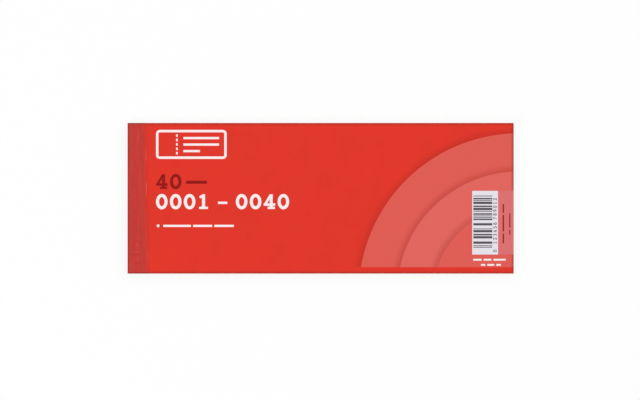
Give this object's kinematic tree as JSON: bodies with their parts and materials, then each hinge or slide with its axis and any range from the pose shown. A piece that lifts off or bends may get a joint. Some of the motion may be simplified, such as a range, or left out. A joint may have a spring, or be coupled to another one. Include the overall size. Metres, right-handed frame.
{
  "type": "receipt book",
  "caption": "Long cheque-style receipt book with card covers, a cloth-taped stapled spine and perforated leaves of counterfoil and receipt.",
  "frame": {"origin": "middle of the closed book's footprint, on the surface that it lies on", "axes": "+X from the taped spine to the free edge, +Y towards the cover's top edge, +Z out of the front cover"},
  "size_m": [0.202, 0.0788, 0.0042],
  "materials": {
    "cover_card": "semi-gloss printed card",
    "spine_tape": "matt bookbinding tape",
    "leaf_paper": "uncoated white paper",
    "staple_steel": "bright wire"
  },
  "bodies": {
    "bound_book": {"back_cover": "cover_card", "bound_margin": "leaf_paper", "front_cover_margin": "cover_card", "spine_tape": "spine_tape", "staple_upper": "staple_steel", "staple_lower": "staple_steel"},
    "front_cover": {"front_cover": "cover_card"},
    "leaf_01": {"leaf_01": "leaf_paper"},
    "leaf_02": {"leaf_02": "leaf_paper"},
    "leaf_03": {"leaf_03": "leaf_paper"},
    "leaf_04": {"leaf_04": "leaf_paper"},
    "leaf_05": {"leaf_05": "leaf_paper"},
    "leaf_06": {"leaf_06": "leaf_paper"},
    "leaf_07": {"leaf_07": "leaf_paper"},
    "leaf_08": {"leaf_08": "leaf_paper"},
    "leaf_09": {"leaf_09": "leaf_paper"},
    "leaf_10": {"leaf_10": "leaf_paper"},
    "leaf_11": {"leaf_11": "leaf_paper"},
    "leaf_12": {"leaf_12": "leaf_paper"},
    "leaf_13": {"leaf_13": "leaf_paper"},
    "leaf_14": {"leaf_14": "leaf_paper"},
    "leaf_15": {"leaf_15": "leaf_paper"},
    "leaf_16": {"leaf_16": "leaf_paper"},
    "leaf_17": {"counterfoil_17": "leaf_paper"},
    "leaf_18": {"counterfoil_18": "leaf_paper"},
    "leaf_19": {"counterfoil_19": "leaf_paper"},
    "leaf_20": {"counterfoil_20": "leaf_paper"},
    "leaf_21": {"counterfoil_21": "leaf_paper"},
    "leaf_22": {"counterfoil_22": "leaf_paper"},
    "leaf_23": {"counterfoil_23": "leaf_paper"},
    "leaf_24": {"counterfoil_24": "leaf_paper"},
    "leaf_25": {"leaf_25": "leaf_paper"},
    "leaf_26": {"leaf_26": "leaf_paper"},
    "leaf_27": {"leaf_27": "leaf_paper"},
    "leaf_28": {"leaf_28": "leaf_paper"},
    "leaf_29": {"leaf_29": "leaf_paper"},
    "leaf_30": {"leaf_30": "leaf_paper"},
    "leaf_31": {"leaf_31": "leaf_paper"},
    "leaf_32": {"leaf_32": "leaf_paper"},
    "leaf_33": {"leaf_33": "leaf_paper"},
    "leaf_34": {"leaf_34": "leaf_paper"},
    "leaf_35": {"leaf_35": "leaf_paper"},
    "leaf_36": {"leaf_36": "leaf_paper"},
    "leaf_37": {"leaf_37": "leaf_paper"},
    "leaf_38": {"leaf_38": "leaf_paper"},
    "leaf_39": {"leaf_39": "leaf_paper"},
    "leaf_40": {"leaf_40": "leaf_paper"},
    "receipt_17": {"receipt_17": "leaf_paper"},
    "receipt_18": {"receipt_18": "leaf_paper"},
    "receipt_19": {"receipt_19": "leaf_paper"},
    "receipt_20": {"receipt_20": "leaf_paper"},
    "receipt_21": {"receipt_21": "leaf_paper"},
    "receipt_22": {"receipt_22": "leaf_paper"},
    "receipt_23": {"receipt_23": "leaf_paper"},
    "receipt_24": {"receipt_24": "leaf_paper"}
  },
  "joints": [
    {"name": "cover_hinge", "type": "hinge", "parent": "bound_book", "child": "front_cover", "pos_m": [-0.0901, 0, 0.00431], "axis": [0, -1, 0], "range_deg": [0, 179]},
    {"name": "leaf_01_hinge", "type": "hinge", "parent": "bound_book", "child": "leaf_01", "pos_m": [-0.0901, 0, 0.00431], "axis": [0, -1, 0], "range_deg": [0, 179]},
    {"name": "leaf_02_hinge", "type": "hinge", "parent": "bound_book", "child": "leaf_02", "pos_m": [-0.0901, 0, 0.00431], "axis": [0, -1, 0], "range_deg": [0, 179]},
    {"name": "leaf_03_hinge", "type": "hinge", "parent": "bound_book", "child": "leaf_03", "pos_m": [-0.0901, 0, 0.00431], "axis": [0, -1, 0], "range_deg": [0, 179]},
    {"name": "leaf_04_hinge", "type": "hinge", "parent": "bound_book", "child": "leaf_04", "pos_m": [-0.0901, 0, 0.00431], "axis": [0, -1, 0], "range_deg": [0, 179]},
    {"name": "leaf_05_hinge", "type": "hinge", "parent": "bound_book", "child": "leaf_05", "pos_m": [-0.0901, 0, 0.00431], "axis": [0, -1, 0], "range_deg": [0, 179]},
    {"name": "leaf_06_hinge", "type": "hinge", "parent": "bound_book", "child": "leaf_06", "pos_m": [-0.0901, 0, 0.00431], "axis": [0, -1, 0], "range_deg": [0, 179]},
    {"name": "leaf_07_hinge", "type": "hinge", "parent": "bound_book", "child": "leaf_07", "pos_m": [-0.0901, 0, 0.00431], "axis": [0, -1, 0], "range_deg": [0, 179]},
    {"name": "leaf_08_hinge", "type": "hinge", "parent": "bound_book", "child": "leaf_08", "pos_m": [-0.0901, 0, 0.00431], "axis": [0, -1, 0], "range_deg": [0, 179]},
    {"name": "leaf_09_hinge", "type": "hinge", "parent": "bound_book", "child": "leaf_09", "pos_m": [-0.0901, 0, 0.00431], "axis": [0, -1, 0], "range_deg": [0, 179]},
    {"name": "leaf_10_hinge", "type": "hinge", "parent": "bound_book", "child": "leaf_10", "pos_m": [-0.0901, 0, 0.00431], "axis": [0, -1, 0], "range_deg": [0, 179]},
    {"name": "leaf_11_hinge", "type": "hinge", "parent": "bound_book", "child": "leaf_11", "pos_m": [-0.0901, 0, 0.00431], "axis": [0, -1, 0], "range_deg": [0, 179]},
    {"name": "leaf_12_hinge", "type": "hinge", "parent": "bound_book", "child": "leaf_12", "pos_m": [-0.0901, 0, 0.00431], "axis": [0, -1, 0], "range_deg": [0, 179]},
    {"name": "leaf_13_hinge", "type": "hinge", "parent": "bound_book", "child": "leaf_13", "pos_m": [-0.0901, 0, 0.00431], "axis": [0, -1, 0], "range_deg": [0, 179]},
    {"name": "leaf_14_hinge", "type": "hinge", "parent": "bound_book", "child": "leaf_14", "pos_m": [-0.0901, 0, 0.00431], "axis": [0, -1, 0], "range_deg": [0, 179]},
    {"name": "leaf_15_hinge", "type": "hinge", "parent": "bound_book", "child": "leaf_15", "pos_m": [-0.0901, 0, 0.00431], "axis": [0, -1, 0], "range_deg": [0, 179]},
    {"name": "leaf_16_hinge", "type": "hinge", "parent": "bound_book", "child": "leaf_16", "pos_m": [-0.0901, 0, 0.00431], "axis": [0, -1, 0], "range_deg": [0, 179]},
    {"name": "leaf_17_hinge", "type": "hinge", "parent": "bound_book", "child": "leaf_17", "pos_m": [-0.0901, 0, 0.00431], "axis": [0, -1, 0], "range_deg": [0, 179]},
    {"name": "leaf_18_hinge", "type": "hinge", "parent": "bound_book", "child": "leaf_18", "pos_m": [-0.0901, 0, 0.00431], "axis": [0, -1, 0], "range_deg": [0, 179]},
    {"name": "leaf_19_hinge", "type": "hinge", "parent": "bound_book", "child": "leaf_19", "pos_m": [-0.0901, 0, 0.00431], "axis": [0, -1, 0], "range_deg": [0, 179]},
    {"name": "leaf_20_hinge", "type": "hinge", "parent": "bound_book", "child": "leaf_20", "pos_m": [-0.0901, 0, 0.00431], "axis": [0, -1, 0], "range_deg": [0, 179]},
    {"name": "leaf_21_hinge", "type": "hinge", "parent": "bound_book", "child": "leaf_21", "pos_m": [-0.0901, 0, 0.00431], "axis": [0, -1, 0], "range_deg": [0, 179]},
    {"name": "leaf_22_hinge", "type": "hinge", "parent": "bound_book", "child": "leaf_22", "pos_m": [-0.0901, 0, 0.00431], "axis": [0, -1, 0], "range_deg": [0, 179]},
    {"name": "leaf_23_hinge", "type": "hinge", "parent": "bound_book", "child": "leaf_23", "pos_m": [-0.0901, 0, 0.00431], "axis": [0, -1, 0], "range_deg": [0, 179]},
    {"name": "leaf_24_hinge", "type": "hinge", "parent": "bound_book", "child": "leaf_24", "pos_m": [-0.0901, 0, 0.00431], "axis": [0, -1, 0], "range_deg": [0, 179]},
    {"name": "leaf_25_hinge", "type": "hinge", "parent": "bound_book", "child": "leaf_25", "pos_m": [-0.0901, 0, 0.00431], "axis": [0, -1, 0], "range_deg": [0, 179]},
    {"name": "leaf_26_hinge", "type": "hinge", "parent": "bound_book", "child": "leaf_26", "pos_m": [-0.0901, 0, 0.00431], "axis": [0, -1, 0], "range_deg": [0, 179]},
    {"name": "leaf_27_hinge", "type": "hinge", "parent": "bound_book", "child": "leaf_27", "pos_m": [-0.0901, 0, 0.00431], "axis": [0, -1, 0], "range_deg": [0, 179]},
    {"name": "leaf_28_hinge", "type": "hinge", "parent": "bound_book", "child": "leaf_28", "pos_m": [-0.0901, 0, 0.00431], "axis": [0, -1, 0], "range_deg": [0, 179]},
    {"name": "leaf_29_hinge", "type": "hinge", "parent": "bound_book", "child": "leaf_29", "pos_m": [-0.0901, 0, 0.00431], "axis": [0, -1, 0], "range_deg": [0, 179]},
    {"name": "leaf_30_hinge", "type": "hinge", "parent": "bound_book", "child": "leaf_30", "pos_m": [-0.0901, 0, 0.00431], "axis": [0, -1, 0], "range_deg": [0, 179]},
    {"name": "leaf_31_hinge", "type": "hinge", "parent": "bound_book", "child": "leaf_31", "pos_m": [-0.0901, 0, 0.00431], "axis": [0, -1, 0], "range_deg": [0, 179]},
    {"name": "leaf_32_hinge", "type": "hinge", "parent": "bound_book", "child": "leaf_32", "pos_m": [-0.0901, 0, 0.00431], "axis": [0, -1, 0], "range_deg": [0, 179]},
    {"name": "leaf_33_hinge", "type": "hinge", "parent": "bound_book", "child": "leaf_33", "pos_m": [-0.0901, 0, 0.00431], "axis": [0, -1, 0], "range_deg": [0, 179]},
    {"name": "leaf_34_hinge", "type": "hinge", "parent": "bound_book", "child": "leaf_34", "pos_m": [-0.0901, 0, 0.00431], "axis": [0, -1, 0], "range_deg": [0, 179]},
    {"name": "leaf_35_hinge", "type": "hinge", "parent": "bound_book", "child": "leaf_35", "pos_m": [-0.0901, 0, 0.00431], "axis": [0, -1, 0], "range_deg": [0, 179]},
    {"name": "leaf_36_hinge", "type": "hinge", "parent": "bound_book", "child": "leaf_36", "pos_m": [-0.0901, 0, 0.00431], "axis": [0, -1, 0], "range_deg": [0, 179]},
    {"name": "leaf_37_hinge", "type": "hinge", "parent": "bound_book", "child": "leaf_37", "pos_m": [-0.0901, 0, 0.00431], "axis": [0, -1, 0], "range_deg": [0, 179]},
    {"name": "leaf_38_hinge", "type": "hinge", "parent": "bound_book", "child": "leaf_38", "pos_m": [-0.0901, 0, 0.00431], "axis": [0, -1, 0], "range_deg": [0, 179]},
    {"name": "leaf_39_hinge", "type": "hinge", "parent": "bound_book", "child": "leaf_39", "pos_m": [-0.0901, 0, 0.00431], "axis": [0, -1, 0], "range_deg": [0, 179]},
    {"name": "leaf_40_hinge", "type": "hinge", "parent": "bound_book", "child": "leaf_40", "pos_m": [-0.0901, 0, 0.00431], "axis": [0, -1, 0], "range_deg": [0, 179]},
    {"name": "receipt_17_slide", "type": "slide", "parent": "leaf_17", "child": "receipt_17", "axis": [1, 0, 0], "range_m": [0, 0.15]},
    {"name": "receipt_18_slide", "type": "slide", "parent": "leaf_18", "child": "receipt_18", "axis": [1, 0, 0], "range_m": [0, 0.15]},
    {"name": "receipt_19_slide", "type": "slide", "parent": "leaf_19", "child": "receipt_19", "axis": [1, 0, 0], "range_m": [0, 0.15]},
    {"name": "receipt_20_slide", "type": "slide", "parent": "leaf_20", "child": "receipt_20", "axis": [1, 0, 0], "range_m": [0, 0.15]},
    {"name": "receipt_21_slide", "type": "slide", "parent": "leaf_21", "child": "receipt_21", "axis": [1, 0, 0], "range_m": [0, 0.15]},
    {"name": "receipt_22_slide", "type": "slide", "parent": "leaf_22", "child": "receipt_22", "axis": [1, 0, 0], "range_m": [0, 0.15]},
    {"name": "receipt_23_slide", "type": "slide", "parent": "leaf_23", "child": "receipt_23", "axis": [1, 0, 0], "range_m": [0, 0.15]},
    {"name": "receipt_24_slide", "type": "slide", "parent": "leaf_24", "child": "receipt_24", "axis": [1, 0, 0], "range_m": [0, 0.15]}
  ],
  "couplings": [
    {"joint": "leaf_01_hinge", "follows": "cover_hinge", "ratio": 0.997},
    {"joint": "leaf_02_hinge", "follows": "cover_hinge", "ratio": 0.994},
    {"joint": "leaf_03_hinge", "follows": "cover_hinge", "ratio": 0.991},
    {"joint": "leaf_04_hinge", "follows": "cover_hinge", "ratio": 0.988},
    {"joint": "leaf_05_hinge", "follows": "cover_hinge", "ratio": 0.985},
    {"joint": "leaf_06_hinge", "follows": "cover_hinge", "ratio": 0.982},
    {"joint": "leaf_07_hinge", "follows": "cover_hinge", "ratio": 0.979},
    {"joint": "leaf_08_hinge", "follows": "cover_hinge", "ratio": 0.976},
    {"joint": "leaf_09_hinge", "follows": "cover_hinge", "ratio": 0.973},
    {"joint": "leaf_10_hinge", "follows": "cover_hinge", "ratio": 0.97},
    {"joint": "leaf_11_hinge", "follows": "cover_hinge", "ratio": 0.967},
    {"joint": "leaf_12_hinge", "follows": "cover_hinge", "ratio": 0.964},
    {"joint": "leaf_13_hinge", "follows": "cover_hinge", "ratio": 0.961},
    {"joint": "leaf_14_hinge", "follows": "cover_hinge", "ratio": 0.958},
    {"joint": "leaf_15_hinge", "follows": "cover_hinge", "ratio": 0.955},
    {"joint": "leaf_16_hinge", "follows": "cover_hinge", "ratio": 0.952},
    {"joint": "leaf_17_hinge", "follows": "cover_hinge", "ratio": 0.949},
    {"joint": "leaf_18_hinge", "follows": "cover_hinge", "ratio": 0.946},
    {"joint": "leaf_19_hinge", "follows": "cover_hinge", "ratio": 0.943},
    {"joint": "leaf_20_hinge", "follows": "cover_hinge", "ratio": 0.94},
    {"joint": "leaf_21_hinge", "follows": "cover_hinge", "ratio": 0.05},
    {"joint": "leaf_22_hinge", "follows": "cover_hinge", "ratio": 0.048},
    {"joint": "leaf_23_hinge", "follows": "cover_hinge", "ratio": 0.046},
    {"joint": "leaf_24_hinge", "follows": "cover_hinge", "ratio": 0.044},
    {"joint": "leaf_25_hinge", "follows": "cover_hinge", "ratio": 0.042},
    {"joint": "leaf_26_hinge", "follows": "cover_hinge", "ratio": 0.04},
    {"joint": "leaf_27_hinge", "follows": "cover_hinge", "ratio": 0.038},
    {"joint": "leaf_28_hinge", "follows": "cover_hinge", "ratio": 0.036},
    {"joint": "leaf_29_hinge", "follows": "cover_hinge", "ratio": 0.034},
    {"joint": "leaf_30_hinge", "follows": "cover_hinge", "ratio": 0.032},
    {"joint": "leaf_31_hinge", "follows": "cover_hinge", "ratio": 0.03},
    {"joint": "leaf_32_hinge", "follows": "cover_hinge", "ratio": 0.028},
    {"joint": "leaf_33_hinge", "follows": "cover_hinge", "ratio": 0.026},
    {"joint": "leaf_34_hinge", "follows": "cover_hinge", "ratio": 0.024},
    {"joint": "leaf_35_hinge", "follows": "cover_hinge", "ratio": 0.022},
    {"joint": "leaf_36_hinge", "follows": "cover_hinge", "ratio": 0.02},
    {"joint": "leaf_37_hinge", "follows": "cover_hinge", "ratio": 0.018},
    {"joint": "leaf_38_hinge", "follows": "cover_hinge", "ratio": 0.016},
    {"joint": "leaf_39_hinge", "follows": "cover_hinge", "ratio": 0.014},
    {"joint": "leaf_40_hinge", "follows": "cover_hinge", "ratio": 0.012}
  ]
}
